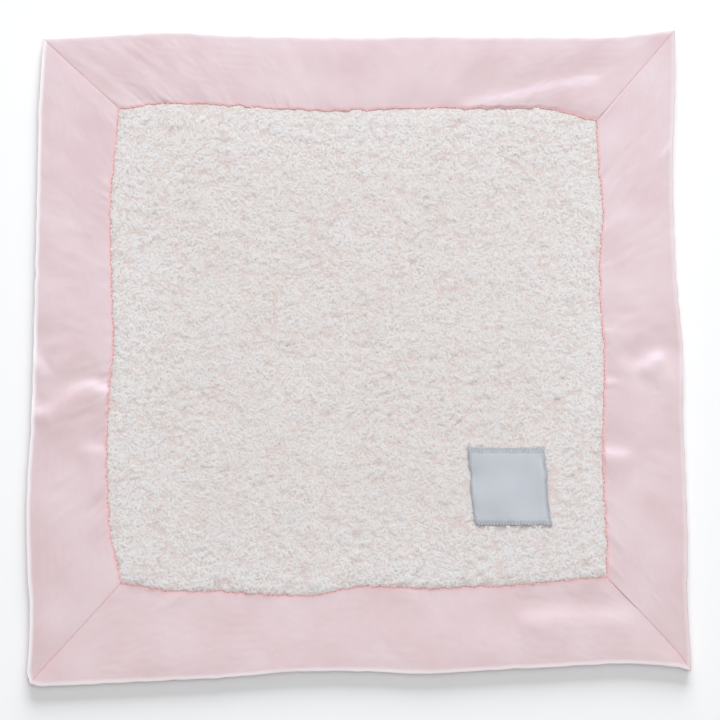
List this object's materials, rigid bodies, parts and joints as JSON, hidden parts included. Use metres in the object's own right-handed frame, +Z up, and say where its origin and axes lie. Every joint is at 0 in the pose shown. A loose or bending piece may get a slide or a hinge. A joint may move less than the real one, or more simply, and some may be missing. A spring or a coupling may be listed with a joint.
{
  "type": "comfort blanket lovey",
  "caption": "Square comfort blanket lying flat: a curly plush panel in a mitred, softly padded satin border, with a satin back and a plain woven label.",
  "frame": {"origin": "on the surface that the blanket lies on, under the middle of its box", "axes": "+Z up, out of the plush; +Y towards the blanket's top edge; +X to the right as seen from above, with the label near the right bottom corner"},
  "size_m": [0.3662, 0.3616, 0.0104],
  "materials": {
    "ivory_plush": "curly sherpa pile, ivory with a pinkish cast in its hollows",
    "pink_satin": "pale pink polyester satin with a soft sheen",
    "white_wadding": "matt polyester wadding",
    "grey_label": "matt grey-blue woven label, bare",
    "pink_thread": "pink polyester sewing thread",
    "label_thread": "pale grey polyester sewing thread"
  },
  "bodies": {
    "root": {"plush_panel": "ivory_plush", "border_top": "pink_satin", "border_right": "pink_satin", "border_bottom": "pink_satin", "border_left": "pink_satin", "back_panel": "pink_satin", "wadding_top": "white_wadding", "wadding_right": "white_wadding", "wadding_bottom": "white_wadding", "wadding_left": "white_wadding", "label_patch": "grey_label", "label_zigzag_thread": "label_thread", "seam_thread_top": "pink_thread", "seam_thread_right": "pink_thread", "seam_thread_bottom": "pink_thread", "seam_thread_left": "pink_thread", "hem_thread_top": "pink_thread", "hem_thread_right": "pink_thread", "hem_thread_bottom": "pink_thread", "hem_thread_left": "pink_thread", "mitre_thread_left_top": "pink_thread", "mitre_thread_right_top": "pink_thread", "mitre_thread_right_bottom": "pink_thread", "mitre_thread_left_bottom": "pink_thread"}
  },
  "joints": []
}
